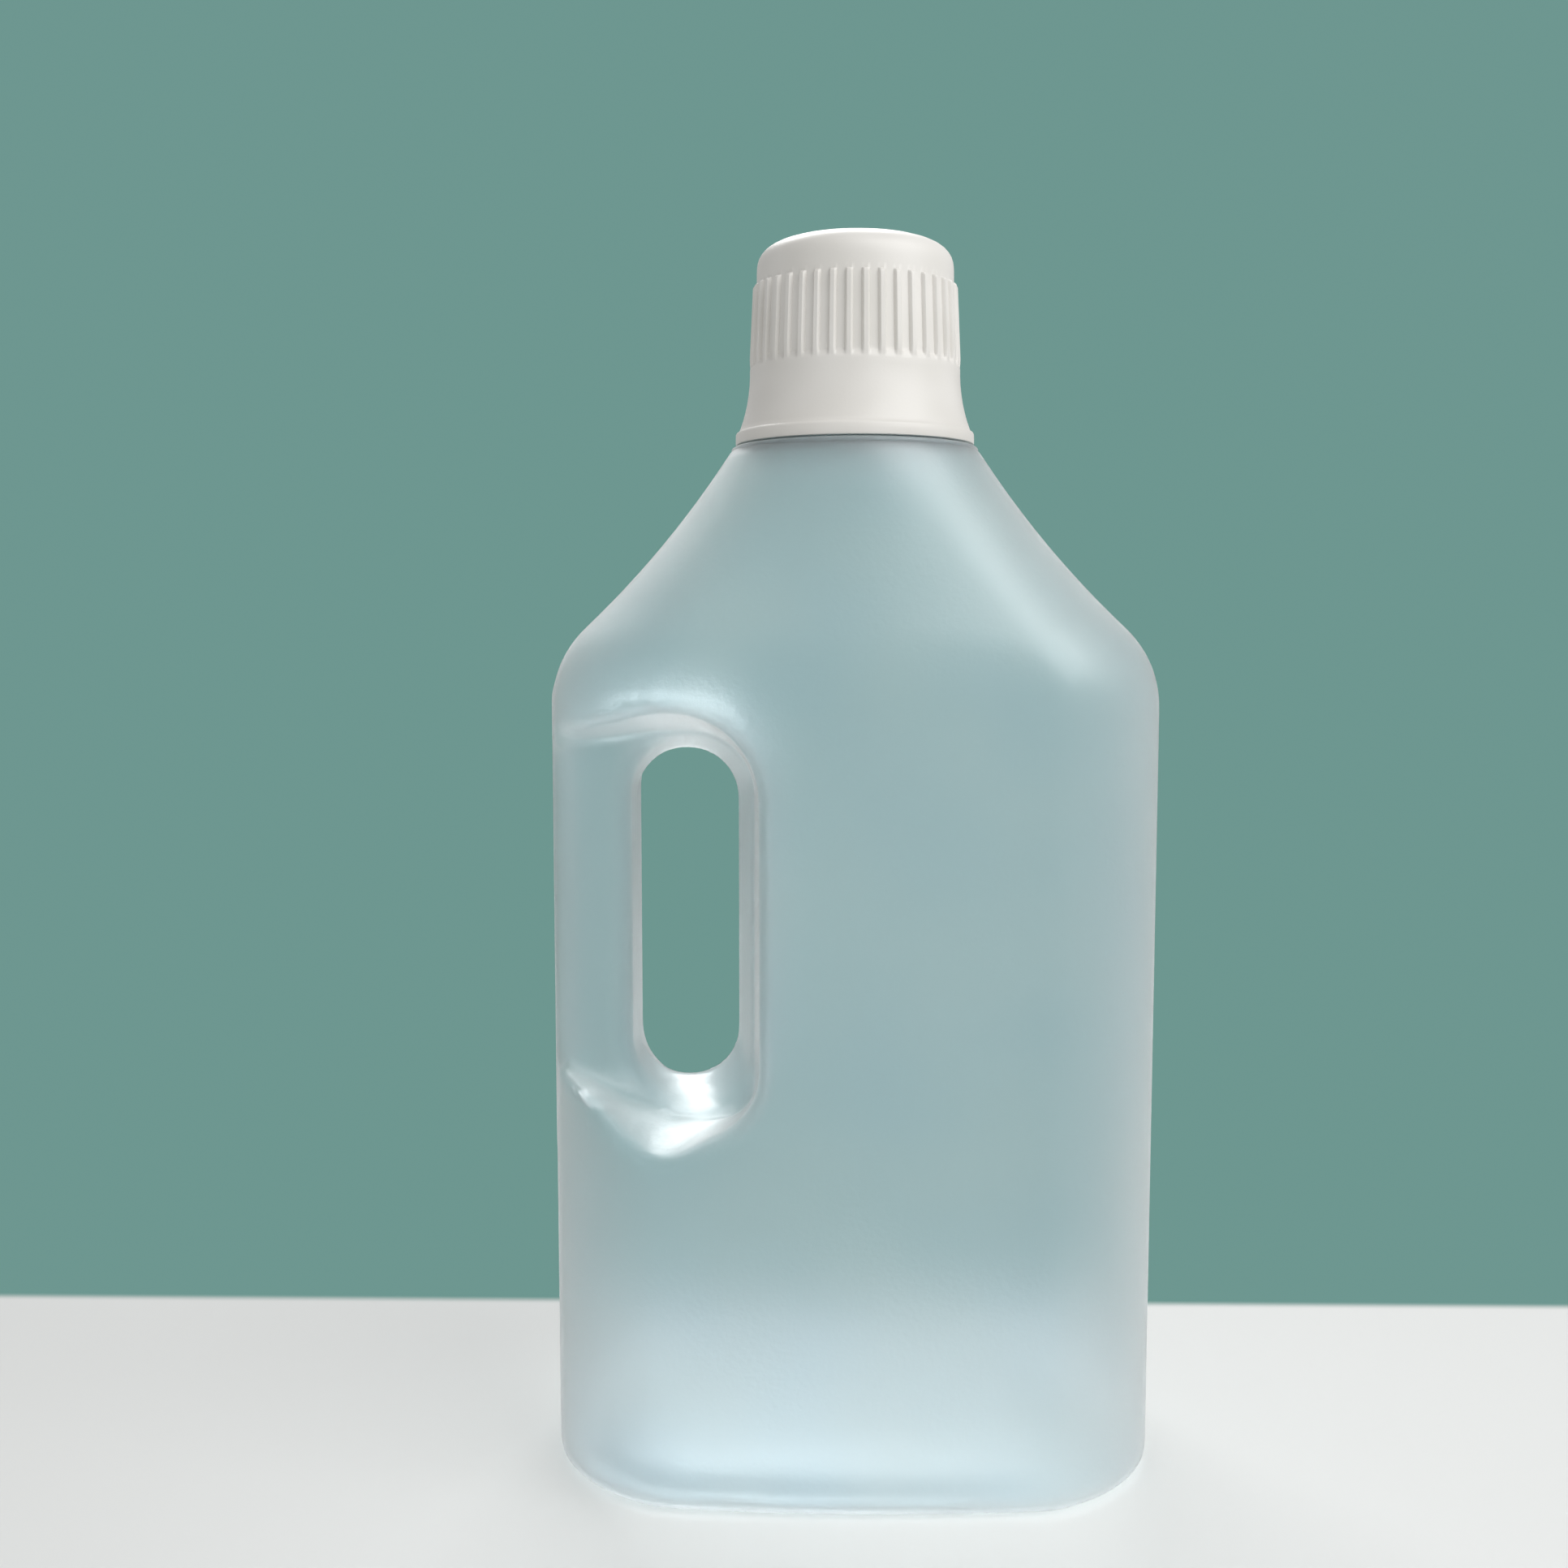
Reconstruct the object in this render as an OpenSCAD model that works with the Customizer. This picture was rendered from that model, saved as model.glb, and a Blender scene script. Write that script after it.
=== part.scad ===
// Blow-moulded floor cleaner bottle with a through handle, a ribbed screw cap and its sealing liner.
// Front face towards -Y, handle at -X, base on Z = 0. Millimetres.

/* [Body] */
// Width of the body over its sides
body_w = 144; // [132:1:160]
// Depth of the body over its front and back
body_d = 92; // [84:1:104]
// Radius of the body's upright corners, seen from above
corner_r = 41; // [36:0.5:41.5]
// Height where the upright wall ends and the shoulder starts
body_h = 181; // [178:1:230]
// Wall thickness of the blown shell
wall = 1.2; // [0.8:0.1:2]
// Rounding where the side wall meets the foot
foot_r = 3.5; // [2.5:0.5:6]
// Width of the flat ring that the bottle stands on
foot_w = 6; // [4:0.5:10]
// Rise of the pushed-up base inside the foot
pushup_h = 5; // [2:0.5:8]

/* [Shoulder] */
// Height of the shoulder, from the upright wall to the collar
shoulder_h = 60; // [52:1:80]
// Rounding between the upright wall and the shoulder
shoulder_r = 25; // [18:1:28]
// Slope of the shoulder above that rounding, from upright
shoulder_tilt = 46.7; // [44:0.1:49]
// Radius of the shoulder's top edge
shoulder_top_r = 29.2; // [28.6:0.1:31]

/* [Neck] */
// Radius of the neck below the thread's ridges
neck_r = 19.9; // [18:0.1:20.6]
// Wall thickness of the neck
neck_wall = 2.2; // [1.6:0.1:3]
// Height of the neck above the shoulder's top edge
neck_h = 43.7; // [38:0.1:48]
// Radius of the collar under the cap
collar_r = 27.2; // [26:0.1:28]
// Height of the collar under the cap
collar_h = 0.9; // [0.6:0.1:1.5]

/* [Handle] */
// Width of the finger hole at the mould's parting plane
hole_w = 24.6; // [22:0.1:28]
// Height of the finger hole at the parting plane
hole_h = 80; // [70:1:86]
// Height of the finger hole's middle
hole_z = 130.5; // [128:0.5:133]
// Width of the grip, from the bottle's side to the finger hole
grip_w = 19.4; // [17:0.1:22]
// Depth of the grip from front to back
grip_d = 36; // [30:1:40]
// Rounding of the grip's edges
grip_r = 8.5; // [6:0.5:9]
// Rounding of the pocket's edge on the front and back
pocket_r = 3; // [2:0.5:4]

/* [Cap] */
// Radius of the cap over its ribs, at their tops
cap_r = 24.1; // [23.6:0.1:25]
// Radius that the cap's wall gains from the rib tops to the rib feet
cap_taper = 0.7; // [0.3:0.1:1]
// Radius of the rim around the skirt
rim_r = 28.2; // [27.8:0.1:30]
// Height of the rim band
rim_h = 2.8; // [2:0.1:4]
// Height of the cap from its rim to its dome
cap_h = 49.3; // [48.5:0.1:52]
// Height of the rib feet above the rim's lower edge
rib_low = 18; // [16:0.5:20]
// Height of the rib tops above the rim's lower edge
rib_high = 37; // [34:0.5:38]
// How far the ribs stand out of the wall
rib_out = 0.9; // [0.6:0.1:1.2]
// Width of one rib
rib_w = 1.6; // [1.2:0.1:2]
// Number of ribs
rib_count = 40; // [24:2:48]
// Wall thickness of the cap's skirt
cap_wall = 1.5; // [1.2:0.1:1.8]

/* [Liner] */
// Thickness of the sealing liner
liner_t = 1.3; // [0.8:0.1:1.6]

/* [Fits] */
// Gap between the collar and the cap's rim when the cap is tight
rim_gap = 0.3; // [0.2:0.1:0.8]
// Room for the two threads between the neck and the cap's bore
thread_room = 1.6; // [1.4:0.1:1.8]
// Gap between the liner's edge and the cap's bore
liner_gap = 0.9; // [0.5:0.1:1.2]

/* [Hidden] */
body_points = 44;
grip_points = 28;
turn_points = 48;
half_w = body_w / 2;
half_d = body_d / 2;
// Bow of the flat faces: a bigger value makes them flatter
flatness = 3;
shoulder_z = body_h + shoulder_h;
lip_z = shoulder_z + neck_h;
mouth_r = neck_r - neck_wall;
foot_in = foot_r + foot_w;
pushup_slope = 10;

// Upright section: a rectangle with bowed sides and round corners, which turns into a circle when half
// width, half depth and corner radius are equal.
function bow(c) = max(-1, min(1, flatness * c));
function section(hw, hd, r, n = body_points) = [for (i = [0:n - 1]) let (t = 360 * (i + 0.5) / n)
    [(hw - r) * bow(cos(t)) + r * cos(t), (hd - r) * bow(sin(t)) + r * sin(t)]];

// Half depth and corner radius follow the half width up the shoulder
function share(hw) = (hw - shoulder_top_r) / (half_w - shoulder_top_r);
function depth_at(hw) = shoulder_top_r + share(hw) * (half_d - shoulder_top_r);
function corner_at(hw) = shoulder_top_r + share(hw) * (corner_r - shoulder_top_r);

// Side outline as [half width, height, angle of the outward normal above level]
function foot_line() = [for (t = [-90:22.5:0]) [half_w - foot_r + foot_r * cos(t), foot_r + foot_r * sin(t), t]];
function round_line() = [for (i = [0:6]) let (t = shoulder_tilt * i / 6)
    [half_w - shoulder_r + shoulder_r * cos(t), body_h + shoulder_r * sin(t), t]];
slope_start = round_line()[6];
rise = shoulder_z - slope_start[1];
inset = slope_start[0] - shoulder_top_r;
chord_tilt = atan2(inset, rise);
half_turn = shoulder_tilt - chord_tilt;
slope_r = norm([rise, inset]) / 2 / sin(half_turn);
function slope_line() = [for (i = [1:8]) let (t = shoulder_tilt - 2 * half_turn * i / 8)
    [slope_start[0] - slope_r * (cos(t) - cos(shoulder_tilt)), slope_start[1] + slope_r * (sin(shoulder_tilt) - sin(t)), t]];

function ring(p, inner) = let (
    hw = p[0] - inner * cos(p[2]),
    z = p[1] - inner * sin(p[2]),
    hd = depth_at(p[0]) - inner * cos(p[2]),
    r = corner_at(p[0]) - inner * cos(p[2]))
    [for (q = section(hw, hd, r)) [q[0], q[1], z]];
function foot_ring(p, inner) = let (
    back = half_w - p[0] + inner * cos(p[2]),
    z = p[1] - inner * sin(p[2]))
    [for (q = section(half_w - back, half_d - back, corner_r - back)) [q[0], q[1], z]];

// A closed skin through rings of equal length, with its two ends capped
module skin(rings) {
    n = len(rings[0]);
    points = [for (r = rings) for (p = r) p];
    sides = [for (k = [0:len(rings) - 2]) for (i = [0:n - 1]) let (j = (i + 1) % n)
        each [[k * n + i, (k + 1) * n + i, (k + 1) * n + j], [k * n + i, (k + 1) * n + j, k * n + j]]];
    low = [for (i = [0:n - 1]) i];
    high = [for (i = [n - 1:-1:0]) (len(rings) - 1) * n + i];
    polyhedron(points, concat(sides, [low], [high]), convexity = 8);
}

// A stack of convex slices, each pair of neighbouring rings joined
module stack(rings) {
    for (k = [0:len(rings) - 2]) hull() skin([rings[k], rings[k + 1]]);
}

// Body and shoulder, shrunk by the given amount on every side
module body_form(inner) {
    stack(concat([for (p = foot_line()) foot_ring(p, inner)],
        [for (p = concat(round_line(), slope_line())) ring(p, inner)]));
}

// Raised middle of the base
module pushup(inner) {
    low = foot_in - inner;
    high = foot_in + pushup_slope - inner;
    rings = [for (p = [[low, -1], [low, inner], [low + 3, inner + pushup_h * 0.7], [high, inner + pushup_h]])
        [for (q = section(half_w - p[0], half_d - p[0], corner_r - p[0])) [q[0], q[1], p[1]]]];
    skin(rings);
}

// Neck with its collar, solid until its bore is cut
module neck() {
    rotate_extrude($fn = turn_points) polygon([[mouth_r - 2, shoulder_z - 3], [mouth_r + 3, shoulder_z - 0.8],
        [collar_r, shoulder_z - 0.3], [collar_r, shoulder_z + collar_h], [collar_r - 2.2, shoulder_z + collar_h + 0.6],
        [neck_r + 1.4, shoulder_z + 6], [neck_r, shoulder_z + 9], [neck_r, lip_z - 0.6], [neck_r - 0.6, lip_z],
        [mouth_r - 2, lip_z]]);
}

// Bore of the neck, with a rounded lip
module neck_bore() {
    rotate_extrude($fn = turn_points) polygon([[0, shoulder_z - 8], [mouth_r, shoulder_z - 8], [mouth_r, lip_z - 0.6],
        [mouth_r + 0.6, lip_z], [mouth_r + 0.6, lip_z + 1], [0, lip_z + 1]]);
}

// Handle pocket. Outlines are in the X and Z of the front view, one for each depth, each corner as
// [x, z, length of side that its rounding takes up]. The left ends lie past the bottle's side.
grip_x = -half_w + grip_w;
hole_x = grip_x + hole_w;
low_z = hole_z - hole_h / 2;
top_z = hole_z + hole_h / 2;
past = half_w + 24;
corner_points = 5;
// The grip's outer side lies this far inside the body's, so the body hides its ends
grip_step = 0.8;
middle_outline = [[-past, low_z + 2, 0], [hole_x - 17, low_z + 0.6, 3], [hole_x, low_z, 12],
    [hole_x, top_z, 12], [hole_x - 17, top_z + 0.6, 3], [-past, top_z + 1, 0]];
grip_outline = [[-past, low_z + 18, 0], [hole_x - 16, low_z - 4, 4], [hole_x + 4, low_z - 6.4, 14],
    [hole_x + 4, top_z + 4, 15], [hole_x - 17, top_z + 4.2, 5], [-past, top_z - 2, 0]];
mouth_outline = [[-past, low_z + 31, 0], [hole_x - 16, low_z - 10, 4], [hole_x + 6.4, low_z + 1.8, 9],
    [hole_x + 6.4, top_z + 10, 20], [hole_x - 17, top_z + 10.4, 7], [-past, top_z - 2.5, 0]];

function side_of(a, b) = let (d = [b[0] - a[0], b[1] - a[1]]) [d[1], -d[0]] / norm(d);
// The outline moved outwards by a distance
function grown(o, by) = [for (i = [0:len(o) - 1]) let (
    n1 = side_of(o[max(i - 1, 0)], o[max(i, 1)]),
    n2 = side_of(o[min(i, len(o) - 2)], o[min(i + 1, len(o) - 1)]),
    m = (n1 + n2) / (1 + n1 * n2))
    [o[i][0] + by * m[0], o[i][1] + by * m[1], o[i][2] > 0 ? o[i][2] + by * tan(acos(n1 * n2) / 2) : 0]];
// The outline's points, with each corner as an arc
function arc_corner(a, p, b, reach) = let (
    u = (a - p) / norm(a - p),
    v = (b - p) / norm(b - p),
    w = sin(acos(u * v) / 2))
    [for (k = [0:corner_points]) let (s = k / corner_points, e = (1 - s) * (1 - s), f = 2 * s * (1 - s) * w, g = s * s)
        (e * (p + reach * u) + f * p + g * (p + reach * v)) / (e + f + g)];
function flat(q) = [q[0], q[1]];
function outline_points(o) = [for (i = [0:len(o) - 1])
    each (o[i][2] == 0 ? [flat(o[i])] : arc_corner(flat(o[i - 1]), flat(o[i]), flat(o[i + 1]), o[i][2]))];

// Distance of the body's front face from the middle plane
function face_at(x) = let (
    wide = half_w - corner_r,
    span = wide * flatness + corner_r,
    c = abs(x) < span / flatness ? abs(x) / span : (abs(x) - wide) / corner_r)
    half_d - corner_r + corner_r * sqrt(max(0, 1 - min(1, c) * min(1, c)));

// The pocket is cut right through, narrowest in the middle, its edges rounded where they meet the faces
module pocket(inner) {
    grip_y = grip_d / 2;
    r = pocket_r;
    edge = concat([for (t = [0, 30, 60]) [r * (1 - cos(t)), r * (1 - sin(t))]], [[r, -0.2 * r]]);
    middle = [for (q = outline_points(grown(middle_outline, inner))) [q[0], 0, q[1]]];
    step = [for (q = outline_points(grown(grip_outline, inner))) [q[0], -grip_y, q[1]]];
    rounded = [for (k = [0:len(edge) - 1])
        [for (q = outline_points(grown(mouth_outline, inner + edge[k][0])))
            [q[0], -max(grip_y + 0.4 + 0.3 * k, face_at(q[0]) - inner - edge[k][1]), q[1]]]];
    away = [for (q = outline_points(grown(mouth_outline, inner + r + 0.5))) [q[0], -half_d - 6, q[1]]];
    front = concat([step], rounded, [away]);
    back = [for (k = [len(front) - 1:-1:0]) [for (q = front[k]) [q[0], -q[1], q[2]]]];
    skin(concat(back, [middle], front));
}

// Grip between the pocket's two ends, wider at both ends where it turns into the finger hole's arcs
function grip_ring(z, inner) = let (
    hole_r = hole_w / 2,
    near = min(z - low_z, top_z - z),
    reach = near > hole_r ? 0 : hole_r - sqrt(max(0, hole_r * hole_r - pow(hole_r - max(near, 0), 2))),
    swell = near > 9 ? 0 : pow(9 - max(near, -3), 2) / 24,
    left = -half_w + grip_step + inner + max(0, 2 - near) * 1.2,
    right = grip_x + reach - inner)
    [for (q = section((right - left) / 2, grip_d / 2 + swell - inner, grip_r - inner, grip_points))
        [(left + right) / 2 + q[0], q[1], z]];

module grip(inner) {
    levels = [-12, -3, 0.4, 1.2, 3, 6, 9.5, 14];
    stack([for (z = concat([for (l = levels) low_z + l], [for (k = [len(levels) - 1:-1:0]) top_z - levels[k]]))
        grip_ring(z, inner)]);
}

module shell_form(inner) {
    difference() {
        body_form(inner);
        pushup(inner);
        pocket(inner);
    }
    grip(inner);
}

module bottle() {
    color([0.86, 0.91, 0.92, 0.55]) difference() {
        union() {
            shell_form(0);
            neck();
        }
        shell_form(wall);
        neck_bore();
    }
}

// Cap, from the rim upwards
cap_z = shoulder_z + collar_h + rim_gap;
bore_r = neck_r + thread_room;
seat_z = lip_z + liner_t;
dome_z = cap_z + cap_h;
wall_top_r = cap_r - rib_out;
wall_low_r = cap_r + cap_taper - rib_out;
skirt_r = cap_r + cap_taper;
rib_lean = atan2(cap_taper, rib_high - rib_low);

module cap_form() {
    rotate_extrude($fn = turn_points) polygon(concat([[0, seat_z + 3], [bore_r - 7, seat_z + 3], [bore_r - 6, seat_z],
        [bore_r - 0.4, seat_z], [bore_r, seat_z - 1], [bore_r, cap_z + 13], [skirt_r - cap_wall, cap_z + 10]],
        flare_line(-cap_wall),
        [[rim_r - cap_wall, cap_z]], [[rim_r - 0.4, cap_z], [rim_r, cap_z + 0.4], [rim_r, cap_z + rim_h - 0.3],
        [rim_r - 0.5, cap_z + rim_h]], [for (k = [3:-1:0]) flare_line(0)[k]],
        [[skirt_r, cap_z + rib_low - 0.3], [skirt_r - 0.3, cap_z + rib_low], [wall_low_r, cap_z + rib_low],
        [wall_top_r, cap_z + rib_high]], dome_line()));
}

// Flare of the skirt, from the plain band down to the rim band
function flare_line(by) = [for (t = [0, 20, 40, 60]) let (run = 1 - cos(t), drop = sin(t))
    [skirt_r + by + (rim_r - skirt_r - 0.8) * run * 2, cap_z + 10 - (10 - rim_h) * drop / sin(60)]];
function dome_line() = [for (t = [8:10.25:90])
    [(wall_top_r - 5) * pow(cos(t), 0.7) + 5 * cos(t), cap_z + rib_high + (dome_z - cap_z - rib_high) * pow(sin(t), 0.95)]];

module rib() {
    long = rib_high - rib_low;
    translate([wall_low_r, 0, cap_z + rib_low - 1]) rotate([0, -rib_lean, 0]) {
        cylinder(r = rib_w / 2, h = long, $fn = 24);
        translate([0, 0, long]) sphere(r = rib_w / 2, $fn = 24);
    }
}

module cap() {
    color("white") union() {
        cap_form();
        for (k = [0:rib_count - 1]) rotate([0, 0, (k + 0.5) * 360 / rib_count]) rib();
    }
}

module cap_liner() {
    color("gainsboro") translate([0, 0, lip_z]) cylinder(r = bore_r - liner_gap, h = liner_t, $fn = turn_points);
}

bottle();
cap();
cap_liner();
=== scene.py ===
import bpy
import bmesh
import math
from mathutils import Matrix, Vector


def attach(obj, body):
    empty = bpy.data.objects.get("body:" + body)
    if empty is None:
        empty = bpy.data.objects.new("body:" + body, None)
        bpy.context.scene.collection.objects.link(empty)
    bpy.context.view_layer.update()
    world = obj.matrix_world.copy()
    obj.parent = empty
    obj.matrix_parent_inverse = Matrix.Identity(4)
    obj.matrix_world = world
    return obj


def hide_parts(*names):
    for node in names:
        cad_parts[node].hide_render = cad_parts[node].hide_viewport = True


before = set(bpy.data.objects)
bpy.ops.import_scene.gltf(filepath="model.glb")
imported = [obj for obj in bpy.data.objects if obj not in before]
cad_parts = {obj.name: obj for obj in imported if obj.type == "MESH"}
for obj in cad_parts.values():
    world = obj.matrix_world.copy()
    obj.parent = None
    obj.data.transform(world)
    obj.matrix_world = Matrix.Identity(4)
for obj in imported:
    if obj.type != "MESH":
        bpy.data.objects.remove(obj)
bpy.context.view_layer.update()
mm = 0.001
scene = bpy.context.scene
print("frame loaded")


# Small helpers, used by every piece
def deselectAll():
    if bpy.context.object and bpy.context.object.mode != 'OBJECT':
        bpy.ops.object.mode_set(mode='OBJECT')
    bpy.ops.object.select_all(action='DESELECT')


def pick(obj):
    deselectAll()
    obj.select_set(True)
    bpy.context.view_layer.objects.active = obj


def applyModifier(obj, kind, **settings):
    pick(obj)
    bpy.ops.object.modifier_add(type=kind)
    modifier = obj.modifiers[-1]
    for name, value in settings.items():
        setattr(modifier, name, value)
    bpy.ops.object.modifier_apply(modifier=modifier.name)


def copyOf(obj, name):
    pick(obj)
    bpy.ops.object.duplicate()
    twin = bpy.context.object
    twin.name = twin.data.name = name
    return twin


# A round blank is extruded ring by ring, and each new ring is pulled onto its own outline, in mm
def pullRings(name, rings):
    deselectAll()
    bpy.ops.mesh.primitive_circle_add(vertices=len(rings[0]), radius=mm, fill_type='NGON')
    obj = bpy.context.object
    obj.name = obj.data.name = name
    bpy.ops.object.mode_set(mode='EDIT')
    bpy.ops.mesh.select_all(action='SELECT')
    mesh = bmesh.from_edit_mesh(obj.data)
    places = {tuple(v.co): i for i, v in enumerate(mesh.verts)}
    for count, ring in enumerate(rings):
        if count:
            bpy.ops.mesh.extrude_region_move()
            mesh = bmesh.from_edit_mesh(obj.data)
        moved = {}
        for v in mesh.verts:
            if v.select:
                i = places[tuple(v.co)]
                v.co = Vector(ring[i]) * mm
                moved[tuple(v.co)] = i
        places = moved
        bmesh.update_edit_mesh(obj.data)
    bpy.ops.mesh.select_all(action='SELECT')
    bpy.ops.mesh.normals_make_consistent(inside=False)
    bpy.ops.object.mode_set(mode='OBJECT')
    return obj


# Bottle, sizes in mm. A line is a list of pairs. The push-up's are inset from the foot and height, the neck's are
# radius and height over the shoulder, and the collar's are both measured from the collar's own radius and height
bottle = {
    'width': 143.8, 'depth': 91.8, 'corner': 41, 'wallTop': 181, 'wall': 1.2,
    'footRadius': 3.5, 'footWidth': 6, 'footSteps': 6,
    'pushUpLine': ((21, 6), (10, 5), (3, 3.5), (1, 1.25), (0, 0)),
    'shoulderHeight': 60, 'shoulderRadius': 25, 'shoulderTilt': 46.7, 'shoulderTop': 29.2,
    'neckRadius': 19.9, 'neckHeight': 43.7,
    'neckLine': ((28.4, 0.7), (24.5, 1.0), (21.4, 2.4), (20.2, 6), (19.9, 9), (19.9, 30), (19.9, 46)),
    'collarRadius': 27.2,
    'collarLine': ((-4, -0.9), (1.2, -0.9), (1.8, -0.5), (2, 0), (1.8, 0.45), (1.2, 0.8), (0, 0.9), (-4, 1.0)),
    'holeWidth': 24.6, 'holeHeight': 80, 'holeMiddle': 130.5,
    'gripWidth': 19.4, 'gripDepth': 36, 'gripRadius': 8.5, 'gripEdge': 6.5, 'edgeRadius': 3.2,
    'backDrop': 8, 'lipTrim': 0.6, 'voxel': 1.5, 'innerVoxel': 2.5, 'smoothing': 3,
    'points': 128, 'bendSteps': 10, 'hollowSteps': 16, 'arcSteps': 12,
}
halfWidth = bottle['width'] / 2
halfDepth = bottle['depth'] / 2
shoulderZ = bottle['wallTop'] + bottle['shoulderHeight']
lipZ = shoulderZ + bottle['neckHeight']
gripX = -halfWidth + bottle['gripWidth']
holeX = gripX + bottle['holeWidth']
lowZ = bottle['holeMiddle'] - bottle['holeHeight'] / 2
topZ = bottle['holeMiddle'] + bottle['holeHeight'] / 2


# Level section: slightly bowed faces between round corners
def sectionPoints(wide, deep, corner, z, count, middle=0):
    points = []
    for i in range(count):
        t = 2 * math.pi * (i + 0.5) / count
        c, s = math.cos(t), math.sin(t)
        points.append((middle + (wide - corner) * max(-1, min(1, 3 * c)) + corner * c,
                       (deep - corner) * max(-1, min(1, 3 * s)) + corner * s, z))
    return points


# Shoulder in the front view: a round bend, then a long hollow arc up to the collar
def shoulderProfile():
    tilt, r = math.radians(bottle['shoulderTilt']), bottle['shoulderRadius']
    bend, hollow = bottle['bendSteps'], bottle['hollowSteps']
    line = [(halfWidth - r + r * math.cos(tilt * i / bend), bottle['wallTop'] + r * math.sin(tilt * i / bend))
            for i in range(bend + 1)]
    x0, z0 = line[-1]
    rise, inset = shoulderZ - z0, x0 - bottle['shoulderTop']
    half = tilt - math.atan2(inset, rise)
    r = math.hypot(rise, inset) / 2 / math.sin(half)
    for i in range(1, hollow + 1):
        t = tilt - 2 * half * i / hollow
        line.append((x0 - r * (math.cos(t) - math.cos(tilt)), z0 + r * (math.sin(tilt) - math.sin(t))))
    return line


def bodyRings():
    n = bottle['points']
    foot, back = bottle['footRadius'], bottle['footRadius'] + bottle['footWidth']
    rings = []

    def insetRing(inset, z):
        rings.append(sectionPoints(halfWidth - inset, halfDepth - inset, bottle['corner'] - inset, z, n))
    for inset, z in bottle['pushUpLine']:
        insetRing(back + inset, z)
    for i in range(bottle['footSteps'] + 1):
        t = math.pi / 2 * i / bottle['footSteps']
        insetRing(foot - foot * math.sin(t), foot - foot * math.cos(t))
    top = bottle['shoulderTop']
    for x, z in shoulderProfile():
        share = (x - top) / (halfWidth - top)
        deep, corner = (top + share * (full - top) for full in (halfDepth, bottle['corner']))
        rings.append(sectionPoints(x, deep, corner, z, n))
    for r, dz in bottle['neckLine']:
        rings.append(sectionPoints(r, r, r, shoulderZ + dz, n))
    return rings


# Handle pocket: outlines in the front view, each corner as x, z and the length of side that its rounding takes.
# The first is the pocket at the grip, the second is its mouth in the bottle's face
past = halfWidth + 24
shelfX = -64.5
gripOutline = [(-past, lowZ + 12, 0), (shelfX, lowZ + 4.6, 7), (holeX - 16, lowZ - 4.8, 11),
               (holeX + 4.6, lowZ - 7.2, 9), (holeX + 4.6, topZ + 4.8, 14), (holeX - 17, topZ + 5, 4),
               (-past, topZ - 2, 0)]
mouthOutline = [(-past, lowZ + 12.4, 0), (shelfX, lowZ + 5.6, 7), (holeX - 16, lowZ - 10, 6),
                (holeX + 6.4, lowZ + 1.8, 9), (holeX + 6.4, topZ + 9.7, 19), (holeX - 17, topZ + 10.4, 3),
                (-past, topZ - 2.5, 0)]


# The pocket's and the hole's floor ends lower at the back than at the front
def lowered(outline, drop, corners=4):
    return [(x, z - drop if i < corners else z, reach) for i, (x, z, reach) in enumerate(outline)]


# Points along an outline that is grown outwards, with each corner rounded by a conic arc
def outlinePoints(outline, grow, closed=False):
    steps = bottle['arcSteps']
    corners = [Vector((x, z)) for x, z, reach in outline]
    sides = []
    for a, b in zip(corners, corners[1:] + corners[:1]):
        d = (b - a).normalized()
        sides.append(Vector((d.y, -d.x)))
    if not closed:
        sides[-1] = sides[-2]  # the two ends of an open outline lie beside the bottle
    grown, points = [], []
    for i, p in enumerate(corners):
        n1, n2 = sides[i - 1] if i or closed else sides[0], sides[i]
        m = (n1 + n2) / (1 + n1.dot(n2))
        turn = math.acos(max(-1, min(1, n1.dot(n2))))
        reach = outline[i][2] + grow * math.tan(turn / 2) if outline[i][2] else 0
        grown.append((p + m * grow, reach))
    for i, (p, reach) in enumerate(grown):
        arc = [p]
        if reach:
            u = (grown[i - 1][0] - p).normalized()
            v = (grown[(i + 1) % len(grown)][0] - p).normalized()
            w = math.sin(math.acos(max(-1, min(1, u.dot(v)))) / 2)
            arc = []
            for k in range(steps + 1):
                s = k / steps
                e, f, g = (1 - s) ** 2, 2 * s * (1 - s) * w, s * s
                arc.append((e * (p + reach * u) + f * p + g * (p + reach * v)) / (e + f + g))
        # straight runs get points too, so that the edge can follow the bowed face
        if points:
            start = points[-1]
            points += [start.lerp(arc[0], k / steps) for k in range(1, steps)]
        points += arc
    return points


# How far the front or back face stands out at x
def faceDepth(x):
    r = bottle['corner']
    wide = halfWidth - r
    span = wide * 3 + r
    c = abs(x) / span if abs(x) < span / 3 else (abs(x) - wide) / r
    return halfDepth - r + r * math.sqrt(max(0, 1 - min(1, c) ** 2))


# One side of the pocket: from the grip out to the face, over the soft edge and past the face
def pocketHalf(side, gripDrop, mouthDrop):
    deep, r = bottle['gripDepth'] / 2, bottle['edgeRadius']
    grip, mouth = lowered(gripOutline, gripDrop), lowered(mouthOutline, mouthDrop)
    edge = [(r * (1 - math.cos(t)), r * (1 - math.sin(t))) for t in (math.pi * i / 12 for i in range(6))]
    edge.append((r, -0.2 * r))
    rings = [[(q.x, side * (deep + 0.2), q.y) for q in outlinePoints(grip, 0)]]
    for k, (grow, inset) in enumerate(edge):
        rings.append([(q.x, side * max(deep + 0.5 + 0.2 * k, faceDepth(q.x) - inset), q.y)
                      for q in outlinePoints(mouth, grow)])
    rings.append([(q.x, side * (halfDepth + 6), q.y) for q in outlinePoints(mouth, r + 0.5)])
    return rings


def pocketRings():
    return pocketHalf(1, bottle['backDrop'] * 0.55, bottle['backDrop'])[::-1] + pocketHalf(-1, 0, 0)


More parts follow.
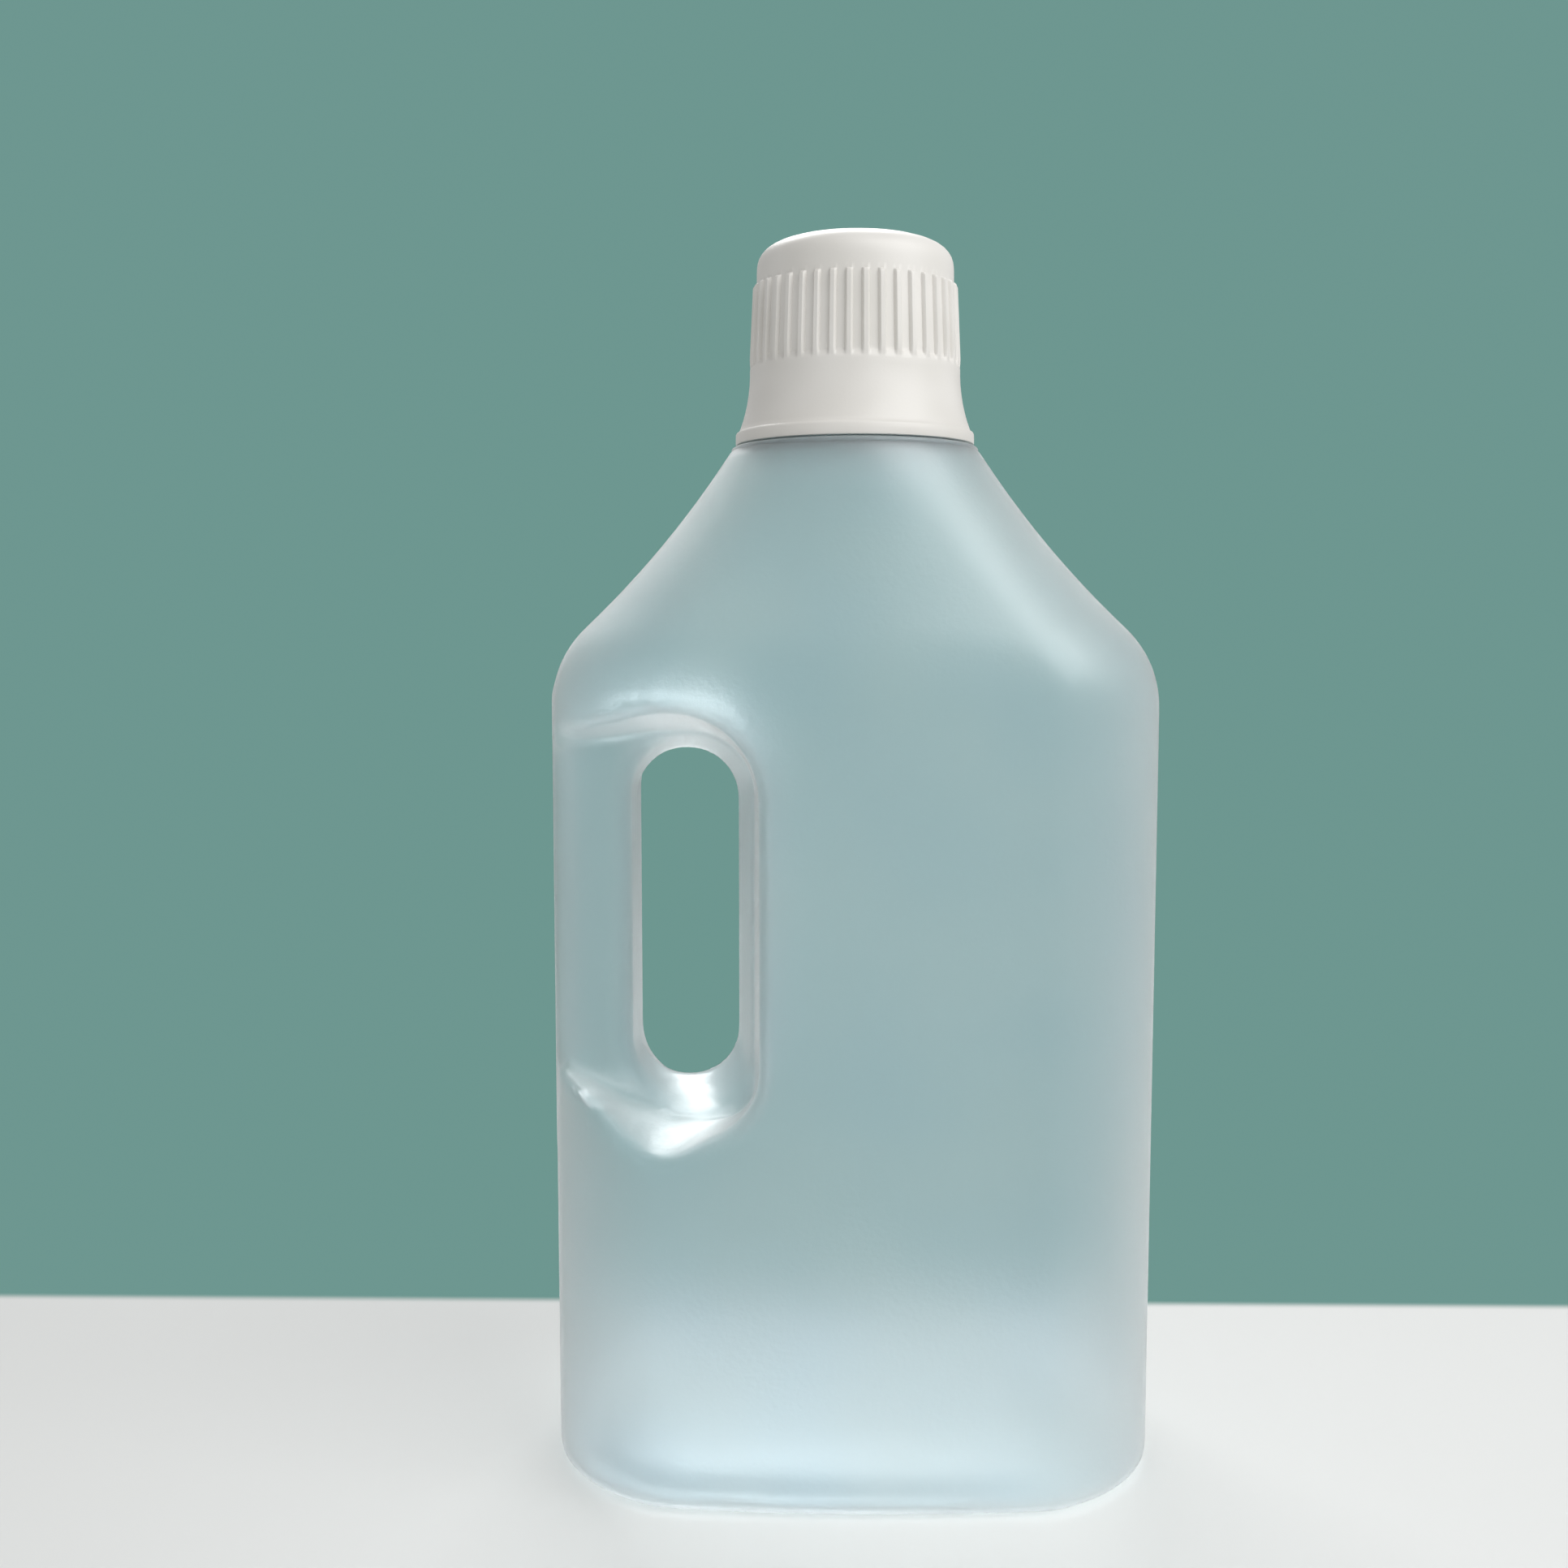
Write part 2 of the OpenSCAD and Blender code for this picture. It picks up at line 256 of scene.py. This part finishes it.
# Web behind the pocket, left standing as the grip: a post with soft upright edges
def webRings():
    left, right = -halfWidth + 0.3, holeX + 9
    middle, wide = (left + right) / 2, (right - left) / 2
    return [sectionPoints(wide, bottle['gripDepth'] / 2, bottle['gripRadius'], z, 72, middle)
            for z in (lowZ - 14, lowZ, topZ, topZ + 14)]


# Finger hole: a stadium in the middle that flares to the front and the back, most of all over the grip
def holeRings():
    deep, soft = bottle['gripDepth'] / 2, bottle['gripEdge']
    half = bottle['holeWidth'] / 2
    narrow = [(gripX, lowZ, half - 0.4), (gripX + half, lowZ, 0.3), (holeX, lowZ, half - 0.4),
              (holeX, topZ, half - 0.4), (gripX + half, topZ, 0.3), (gripX, topZ, half - 0.4)]
    flared = [(gripX, lowZ + 1.5, 11), (gripX + half, lowZ - 4, 2.5), (holeX + 4.1, lowZ - 6.5, 12),
              (holeX + 4.1, topZ + 4.1, 14), (gripX + half, topZ + 4.3, 0.6), (gripX, topZ + 2.4, 11)]
    backFlared = [(gripX, lowZ - 2.6, 11.2), (gripX + half, lowZ - 7.2, 1), (holeX + 4.1, lowZ - 9.4, 13)]
    backFlared += flared[3:]
    levels = [(0, 0), (5, 0)] + [(deep - soft + soft * math.sin(t), soft * (1 - math.cos(t)))
                                 for t in (math.pi / 2 * i / 7 for i in range(8))] + [(deep + 1, soft + 0.6)]

    def levelRing(y, side, end, way):
        share = min(1, y / deep)
        outline = []
        for k, (a, b) in enumerate(zip(narrow, end)):
            x, z, reach = (a[j] + (b[j] - a[j]) * share for j in range(3))
            outline.append((x - side if k in (0, 5) else x, z, reach))
        return [(q.x, way * y, q.y) for q in outlinePoints(outline, 0, True)]
    back = [levelRing(y, side, backFlared, 1) for y, side in levels]
    return back[::-1] + [levelRing(y, side, flared, -1) for y, side in levels[1:]]


def makeBottle():
    body = pullRings('bottleShell', bodyRings())
    pocket = pullRings('pocketCutter', pocketRings())
    web = pullRings('gripWeb', webRings())
    hole = pullRings('holeCutter', holeRings())
    applyModifier(body, 'BOOLEAN', object=pocket, operation='DIFFERENCE', solver='EXACT')
    applyModifier(body, 'BOOLEAN', object=web, operation='UNION', solver='EXACT')
    applyModifier(body, 'BOOLEAN', object=hole, operation='DIFFERENCE', solver='EXACT')
    for tool in (pocket, web, hole):
        bpy.data.objects.remove(tool)
    applyModifier(body, 'REMESH', mode='VOXEL', voxel_size=bottle['voxel'] * mm)
    applyModifier(body, 'SMOOTH', factor=0.5, iterations=bottle['smoothing'])
    # the inner wall follows the outside at the wall's thickness, with wider faces
    inner = copyOf(body, 'innerWall')
    applyModifier(inner, 'REMESH', mode='VOXEL', voxel_size=bottle['innerVoxel'] * mm)
    applyModifier(inner, 'SMOOTH', factor=0.5, iterations=1)
    applyModifier(inner, 'DISPLACE', strength=-bottle['wall'] * mm, mid_level=0)
    # the neck is cut off level at the lip
    pick(body)
    bpy.ops.object.mode_set(mode='EDIT')
    bpy.ops.mesh.select_all(action='SELECT')
    bpy.ops.mesh.bisect(plane_co=(0, 0, (lipZ - bottle['lipTrim']) * mm), plane_no=(0, 0, 1),
                        clear_outer=True, use_fill=True)
    bpy.ops.object.mode_set(mode='OBJECT')
    applyModifier(body, 'BOOLEAN', object=inner, operation='DIFFERENCE', solver='EXACT')
    bpy.data.objects.remove(inner)
    print('bottle shell', len(body.data.polygons), 'faces')
    return body


# Neck: the thread's sizes
neck = {
    'thread': 1.3, 'threadWidth': 2.2, 'threadLead': 4.5, 'threadTurns': 1.5, 'threadLow': 257,
    'threadSteps': 48, 'threadFade': 5, 'smoothAngle': 50,
}


# A profile of radius and height, turned round the upright axis
def turned(name, profile, count=120):
    return pullRings(name, [[(r * math.cos(2 * math.pi * i / count), r * math.sin(2 * math.pi * i / count), z)
                             for i in range(count)] for r, z in profile])


# A ridge that climbs round a wall. It rises out of the wall at its ends
def threadRidge(name, radius, out, wide, low, lead, turns, side=1):
    rings = []
    perTurn, fade = neck['threadSteps'], neck['threadFade']
    steps = int(turns * perTurn)
    for k in range(steps + 1):
        t = 2 * math.pi * k / perTurn
        grow = out * min(1, k / fade, (steps - k) / fade) * side
        z = low + lead * k / perTurn
        section = [(-0.5 * side, -wide / 2), (0, -wide / 2), (grow, -wide * 0.22), (grow, wide * 0.22),
                   (0, wide / 2), (-0.5 * side, wide / 2)]
        rings.append([((radius + r) * math.cos(t), (radius + r) * math.sin(t), z + dz) for r, dz in section])
    return pullRings(name, rings)


def joinInto(target, *parts):
    pick(target)
    for part in parts:
        part.select_set(True)
    bpy.ops.object.join()


# The collar and the neck's thread join the shell
def finishNeck(shell):
    profile = [(bottle['collarRadius'] + r, shoulderZ + z) for r, z in bottle['collarLine']]
    collar = turned('collar', profile, 160)
    ridge = threadRidge('neckThread', bottle['neckRadius'] - 0.05, neck['thread'], neck['threadWidth'],
                        neck['threadLow'], neck['threadLead'], neck['threadTurns'])
    joinInto(shell, collar, ridge)
    pick(shell)
    bpy.ops.object.shade_smooth_by_angle(angle=math.radians(neck['smoothAngle']))


# Cap: one moulding with flat-topped ribs, a flared skirt and an inner thread
cap = {
    'ribs': 40, 'ribOut': 0.9, 'ribWidth': 1.55, 'ribFlank': 0.34,
    'ribLow': 262.1, 'ribHigh': 278.4, 'ribSteps': 7, 'ledgeHeight': 262, 'ledge': 24.82,
    'wallTop': 23.2, 'wallFoot': 23.95, 'bore': 21.5, 'ceiling': 286.0, 'low': 242.2, 'top': 290.3,
    'thread': 1.1, 'threadWidth': 1.5, 'threadLow': 254.6, 'smoothAngle': 48,
}


def makeCap():
    pitch = 2 * math.pi / cap['ribs']
    half = cap['ribWidth'] / 2
    mean = (cap['wallTop'] + cap['wallFoot']) / 2
    # places across one rib in mm from its middle: close together on its flanks
    flankWidth = cap['ribFlank']
    across = [-half - 0.5, -half - 0.1, -half + 0.12, -half + flankWidth, -0.3,
              0.3, half - flankWidth, half - 0.12, half + 0.1, half + 0.5, half + 1.05]
    angles = [((k + 0.5) * pitch + a / mean, abs(a)) for k in range(cap['ribs']) for a in across]
    low, rib, ceiling = cap['low'], cap['ribOut'], cap['ceiling']
    # inside from the ceiling down, then outside from the rim up: radius, height, share of the rib
    profile = [(3, ceiling, 0), (14, ceiling, 0), (20.4, ceiling, 0), (21.2, ceiling - 0.3, 0),
               (cap['bore'], ceiling - 1.1, 0), (cap['bore'], 270, 0), (cap['bore'], 256, 0), (22.2, 254.6, 0),
               (23.2, 253, 0), (23.9, 250, 0), (25, 247, 0), (26.4, 244.2, 0), (26.7, 242.5, 0), (26.9, low, 0),
               (27.9, low, 0), (28.14, low + 0.1, 0), (28.2, low + 0.4, 0), (28.2, low + 1.4, 0),
               (28.16, low + 2.4, 0), (28.02, low + 2.75, 0), (27.72, low + 2.95, 0), (27.36, low + 3.25, 0),
               (27.0, low + 4.2, 0), (26.45, low + 5.8, 0), (25.95, low + 7.6, 0), (25.5, low + 9.6, 0),
               (25.15, low + 11.8, 0), (24.9, low + 14, 0),
               (24.8, low + 16, 0), (24.8, low + 17.3, 0), (24.74, low + 17.75, 0), (24.55, low + 18.15, 0.2),
               (24.3, low + 18.7, 0.55), (24.1, low + 19.1, 0.85), (24.0, low + 19.4, 1), (23.95, low + 19.9, 1)]
    for i in range(1, cap['ribSteps'] + 1):
        z = cap['ribLow'] + (cap['ribHigh'] - cap['ribLow']) * i / cap['ribSteps']
        profile.append((cap['wallFoot'] + (cap['wallTop'] - cap['wallFoot']) * i / cap['ribSteps'], z, 1))
    profile += [(23.19, 278.75, 0.94), (23.18, 279.0, 0.72), (23.18, 279.15, 0.4), (23.18, 279.3, 0),
                (23.17, 280.6, 0), (23.16, 282.2, 0), (23.1, 283.4, 0), (22.95, 284.4, 0), (22.65, 285.3, 0),
                (22.15, 286.15, 0), (21.4, 287.0, 0), (20.4, 287.75, 0), (19.0, 288.45, 0), (17.0, 289.1, 0),
                (14.4, 289.62, 0), (11, 289.98, 0), (7, 290.2, 0), (3, cap['top'], 0)]
    rings = []
    for r, z, share in profile:
        ring = []
        for angle, away in angles:
            flank = max(0, min(1, (half + 0.1 - away) / flankWidth))
            out = rib * share * flank * flank * (3 - 2 * flank)
            # under the ribs' feet, none stands out further than the ledge
            reach = max(r, min(r + out, cap['ledge'])) if z < cap['ledgeHeight'] else r + out
            ring.append((reach * math.cos(angle), reach * math.sin(angle), z))
        rings.append(ring)
    body = pullRings('screwCap', rings)
    for z in (ceiling, cap['top']):
        closePole(body, z)
    ridge = threadRidge('capThread', cap['bore'] + 0.05, cap['thread'], cap['threadWidth'], cap['threadLow'],
                        neck['threadLead'], neck['threadTurns'], -1)
    joinInto(body, ridge)
    pick(body)
    bpy.ops.object.shade_smooth_by_angle(angle=math.radians(cap['smoothAngle']))
    print('cap', len(body.data.polygons), 'faces')
    return body


# The last opening at a pole is poked, so that no large flat polygon is left there
def closePole(obj, z):
    pick(obj)
    bpy.ops.object.mode_set(mode='EDIT')
    bpy.ops.mesh.select_mode(type='FACE')
    bpy.ops.mesh.select_all(action='DESELECT')
    mesh = bmesh.from_edit_mesh(obj.data)
    for face in mesh.faces:
        face.select = len(face.verts) > 8 and abs(face.calc_center_median().z - z * mm) < 0.05 * mm
    bmesh.update_edit_mesh(obj.data)
    bpy.ops.mesh.poke()
    bpy.ops.object.mode_set(mode='OBJECT')


# Materials
def newMaterial(name):
    material = bpy.data.materials.new(name)
    material.use_nodes = True
    nodes, links = material.node_tree.nodes, material.node_tree.links
    return material, nodes, links, nodes['Principled BSDF']


# Moulded surface: fine grain, slow waves of the wall and a cloudy mask, from Object coordinates
def mouldedSurfaceGroup():
    group = bpy.data.node_groups.new('mouldedSurface', 'ShaderNodeTree')
    for name, value in (('Grain Size', 900), ('Grain', 0.3), ('Wave Size', 22), ('Wave', 1.0)):
        socket = group.interface.new_socket(name=name, in_out='INPUT', socket_type='NodeSocketFloat')
        socket.default_value = value
    group.interface.new_socket(name='Height', in_out='OUTPUT', socket_type='NodeSocketFloat')
    group.interface.new_socket(name='Cloud', in_out='OUTPUT', socket_type='NodeSocketFloat')
    nodes, links = group.nodes, group.links
    given, out = nodes.new('NodeGroupInput'), nodes.new('NodeGroupOutput')
    place = nodes.new('ShaderNodeTexCoord')
    heights = []
    for size, amount, detail in (('Grain Size', 'Grain', 3), ('Wave Size', 'Wave', 1)):
        noise = nodes.new('ShaderNodeTexNoise')
        noise.inputs['Detail'].default_value = detail
        links.new(place.outputs['Object'], noise.inputs['Vector'])
        links.new(given.outputs[size], noise.inputs['Scale'])
        scale = nodes.new('ShaderNodeMath')
        scale.operation = 'MULTIPLY'
        links.new(noise.outputs['Fac'], scale.inputs[0])
        links.new(given.outputs[amount], scale.inputs[1])
        heights.append(scale)
        last = noise
    total = nodes.new('ShaderNodeMath')
    links.new(heights[0].outputs[0], total.inputs[0])
    links.new(heights[1].outputs[0], total.inputs[1])
    links.new(total.outputs[0], out.inputs['Height'])
    links.new(last.outputs['Fac'], out.inputs['Cloud'])
    return group


# A group node, with its inputs given by name
def placeGroup(nodes, group, **values):
    node = nodes.new('ShaderNodeGroup')
    node.node_tree = group
    for name, value in values.items():
        node.inputs[name.replace('_', ' ')].default_value = value
    return node


# A soft step from one value to another
def ramp(nodes, links, source, low, high, outLow, outHigh):
    node = nodes.new('ShaderNodeMapRange')
    node.interpolation_type = 'SMOOTHSTEP'
    for name, value in (('From Min', low), ('From Max', high), ('To Min', outLow), ('To Max', outHigh)):
        node.inputs[name].default_value = value
    links.new(source, node.inputs['Value'])
    return node.outputs['Result']


def maths(nodes, links, operation, a, b=None, value=0.0):
    node = nodes.new('ShaderNodeMath')
    node.operation = operation
    links.new(a, node.inputs[0])
    if b is not None:
        links.new(b, node.inputs[1])
    else:
        node.inputs[1].default_value = value
    return node.outputs[0]


def colorMix(nodes, links, fac, a, b):
    node = nodes.new('ShaderNodeMix')
    node.data_type = 'RGBA'
    links.new(fac, node.inputs['Factor'])
    for socket, color in ((node.inputs[6], a), (node.inputs[7], b)):
        if isinstance(color, tuple):
            socket.default_value = color
        else:
            links.new(color, socket)
    return node.outputs[2]


def bumpFrom(nodes, links, shader, height, strength, distance):
    bump = nodes.new('ShaderNodeBump')
    bump.inputs['Strength'].default_value = strength
    bump.inputs['Distance'].default_value = distance
    links.new(height, bump.inputs['Height'])
    links.new(bump.outputs['Normal'], shader.inputs['Normal'])


# Bottle's plastic. Its roughness stays above 0.3, or the clean-up of the render's noise draws islands on it.
# Lengths are in m, and shade is the share of lamp light that one surface keeps back
# edge is the whiter colour where the wall is seen slantwise: partly the frosted wall's milkier look, partly a
# painted sheen
naturalPlastic = {
    'thin': (0.85, 0.94, 0.985, 1), 'thick': (0.89, 0.96, 0.985, 1), 'edge': (0.985, 0.99, 0.99, 1),
    'clearness': 0.89, 'ior': 1.5, 'roughness': 0.33, 'roughnessSpread': 0.025, 'edgeSheenBlend': 0.35, 'shade': 0.24,
    'coat': 0.03, 'coatRoughness': 0.3, 'sheen': 0.25, 'sheenRoughness': 0.4,
    'seamFrom': 0.00012, 'seamTo': 0.00042, 'seam': 0.35, 'bump': 0.35, 'bumpDepth': 0.0006,
}


def mouldedPlastic(surface):
    material, nodes, links, shader = newMaterial('naturalPolyethylene')
    look = naturalPlastic
    shader.inputs['IOR'].default_value = look['ior']
    shader.inputs['Transmission Weight'].default_value = look['clearness']
    shader.inputs['Coat Weight'].default_value = look['coat']
    shader.inputs['Coat Roughness'].default_value = look['coatRoughness']
    shader.inputs['Sheen Weight'].default_value = look['sheen']
    shader.inputs['Sheen Roughness'].default_value = look['sheenRoughness']
    skin = placeGroup(nodes, surface, Grain_Size=700, Grain=0.25, Wave_Size=26, Wave=1.6)
    cloud = ramp(nodes, links, skin.outputs['Cloud'], 0.25, 0.75, 0, 1)
    body = colorMix(nodes, links, cloud, look['thin'], look['thick'])
    # towards the silhouette the base colour turns whiter: partly the milkier look of the frosted wall seen
    # slantwise, partly a painted sheen on the edges
    facing = nodes.new('ShaderNodeLayerWeight')
    facing.inputs['Blend'].default_value = look['edgeSheenBlend']
    links.new(colorMix(nodes, links, facing.outputs['Facing'], body, look['edge']), shader.inputs['Base Color'])
    links.new(ramp(nodes, links, skin.outputs['Cloud'], 0.3, 0.7, look['roughness'] - look['roughnessSpread'],
                   look['roughness'] + look['roughnessSpread']), shader.inputs['Roughness'])
    # lamp light passes the thin wall, so each surface takes only a little of it
    path = nodes.new('ShaderNodeLightPath')
    links.new(ramp(nodes, links, path.outputs['Is Shadow Ray'], 0, 1, 1, look['shade']), shader.inputs['Alpha'])
    # parting line where the two mould halves met
    place = nodes.new('ShaderNodeTexCoord')
    apart = nodes.new('ShaderNodeSeparateXYZ')
    links.new(place.outputs['Object'], apart.inputs[0])
    away = maths(nodes, links, 'ABSOLUTE', apart.outputs['Y'])
    line = ramp(nodes, links, away, look['seamFrom'], look['seamTo'], look['seam'], 0)
    height = maths(nodes, links, 'ADD', skin.outputs['Height'], line)
    bumpFrom(nodes, links, shader, height, look['bump'], look['bumpDepth'])
    return material


# Cap's white plastic
whitePlastic = {
    'dark': (0.75, 0.73, 0.69, 1), 'light': (0.80, 0.78, 0.745, 1), 'smooth': 0.34, 'rough': 0.44,
    'bump': 0.18, 'bumpDepth': 0.0002,
}


def capPlastic(surface):
    material, nodes, links, shader = newMaterial('whitePolypropylene')
    skin = placeGroup(nodes, surface, Grain_Size=1600, Grain=0.4, Wave_Size=60, Wave=0.3)
    cloud = ramp(nodes, links, skin.outputs['Cloud'], 0.3, 0.7, 0, 1)
    look = whitePlastic
    links.new(colorMix(nodes, links, cloud, look['dark'], look['light']), shader.inputs['Base Color'])
    links.new(ramp(nodes, links, skin.outputs['Cloud'], 0.3, 0.7, look['smooth'], look['rough']),
              shader.inputs['Roughness'])
    bumpFrom(nodes, links, shader, skin.outputs['Height'], look['bump'], look['bumpDepth'])
    return material


# Liner's foam
foam = {
    'dark': (0.60, 0.60, 0.57, 1), 'light': (0.74, 0.74, 0.71, 1), 'roughness': 0.8,
    'bump': 0.5, 'bumpDepth': 0.0002,
}


def linerFoam(surface):
    material, nodes, links, shader = newMaterial('foamSheet')
    skin = placeGroup(nodes, surface, Grain_Size=2600, Grain=1.0, Wave_Size=120, Wave=0.4)
    cloud = ramp(nodes, links, skin.outputs['Height'], 0.4, 1.0, 0, 1)
    links.new(colorMix(nodes, links, cloud, foam['dark'], foam['light']), shader.inputs['Base Color'])
    shader.inputs['Roughness'].default_value = foam['roughness']
    bumpFrom(nodes, links, shader, skin.outputs['Height'], foam['bump'], foam['bumpDepth'])
    return material


surface = mouldedSurfaceGroup()
shell = makeBottle()
finishNeck(shell)
shell.data.materials.clear()
shell.data.materials.append(mouldedPlastic(surface))
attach(shell, 'bottle')
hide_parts('bottle')
print('bottle ready')

screwCap = makeCap()
screwCap.data.materials.clear()
screwCap.data.materials.append(capPlastic(surface))
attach(screwCap, 'cap')
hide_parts('cap')
print('cap ready')

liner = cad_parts['cap_liner']
liner.data.materials.clear()
liner.data.materials.append(linerFoam(surface))
print('liner ready')


# Studio. The lamps' places, aims and sizes are in mm and their power in W. The floor and the camera are in m
studio = {
    'floorColor': (0.74, 0.75, 0.74, 1), 'floorSize': 8, 'floorRoughness': 0.7,
    'backColor': (0.155, 0.308, 0.28, 1), 'turnStart': 0.078, 'turnEnd': 0.084, 'world': 0.42,
    'lamps': {
        'keyLamp': {'place': (460, -380, 700), 'aim': (0, 0, 130), 'power': 4.5, 'size': (700, 700)},
        'fillLamp': {'place': (-600, -620, 300), 'aim': (0, 0, 130), 'power': 0.5, 'size': (600, 600)},
        'backLamp': {'place': (-90, 520, 780), 'aim': (-30, 0, 110), 'power': 3.2, 'size': (420, 260)},
    },
    'cameraPlace': (-0.00939, -0.41826, 0.19991), 'cameraTurn': (84.78, 0, 1.01),
    'focalPixels': 2139.17, 'photoWidth': 1932, 'sensorWidth': 36,
}


def makeFloor():
    deselectAll()
    bpy.ops.mesh.primitive_plane_add(size=studio['floorSize'])
    floor = bpy.context.object
    floor.name = 'floor'
    material, nodes, links, shader = newMaterial('paleFloor')
    shader.inputs['Base Color'].default_value = studio['floorColor']
    shader.inputs['Roughness'].default_value = studio['floorRoughness']
    # behind the bottle the pale table ends and the backdrop's colour takes over
    place = nodes.new('ShaderNodeTexCoord')
    apart = nodes.new('ShaderNodeSeparateXYZ')
    links.new(place.outputs['Object'], apart.inputs[0])
    far = ramp(nodes, links, apart.outputs['Y'], studio['turnStart'], studio['turnEnd'], 0, 1)
    path = nodes.new('ShaderNodeLightPath')
    seen = maths(nodes, links, 'MAXIMUM', path.outputs['Is Camera Ray'], path.outputs['Is Transmission Ray'])
    glow = nodes.new('ShaderNodeEmission')
    glow.inputs['Color'].default_value = studio['backColor']
    mix = nodes.new('ShaderNodeMixShader')
    links.new(maths(nodes, links, 'MULTIPLY', far, seen), mix.inputs['Fac'])
    links.new(shader.outputs[0], mix.inputs[1])
    links.new(glow.outputs[0], mix.inputs[2])
    links.new(mix.outputs[0], nodes['Material Output'].inputs['Surface'])
    floor.data.materials.append(material)


def makeWorld():
    world = bpy.data.worlds.new('studioWorld')
    scene.world = world
    world.use_nodes = True
    nodes, links = world.node_tree.nodes, world.node_tree.links
    light = nodes['Background']
    light.inputs['Color'].default_value = (1, 1, 1, 1)
    light.inputs['Strength'].default_value = studio['world']
    seen = nodes.new('ShaderNodeBackground')
    seen.inputs['Color'].default_value = studio['backColor']
    mix = nodes.new('ShaderNodeMixShader')
    path = nodes.new('ShaderNodeLightPath')
    either = maths(nodes, links, 'MAXIMUM', path.outputs['Is Camera Ray'], path.outputs['Is Transmission Ray'])
    links.new(either, mix.inputs['Fac'])
    links.new(light.outputs[0], mix.inputs[1])
    links.new(seen.outputs[0], mix.inputs[2])
    links.new(mix.outputs[0], nodes['World Output'].inputs['Surface'])


def addLamp(name, place, aim, power, size):
    deselectAll()
    bpy.ops.object.light_add(type='AREA', location=Vector(place) * mm)
    lamp = bpy.context.object
    lamp.name = name
    lamp.data.energy = power
    lamp.data.shape = 'RECTANGLE'
    lamp.data.size, lamp.data.size_y = size[0] * mm, size[1] * mm
    lamp.rotation_euler = (Vector(aim) - Vector(place)).to_track_quat('-Z', 'Y').to_euler()


makeFloor()
makeWorld()
for lampName, lampValues in studio['lamps'].items():
    addLamp(lampName, **lampValues)

# the camera stands where the photo was taken from, by a fit to its outlines
bpy.ops.object.camera_add(location=studio['cameraPlace'],
                          rotation=[math.radians(turn) for turn in studio['cameraTurn']])
camera = bpy.context.object
camera.data.sensor_width = studio['sensorWidth']
camera.data.lens = studio['focalPixels'] * studio['sensorWidth'] / studio['photoWidth']
camera.data.clip_start = 0.01
scene.camera = camera
scene.view_settings.view_transform = 'Standard'
print('studio and camera set')
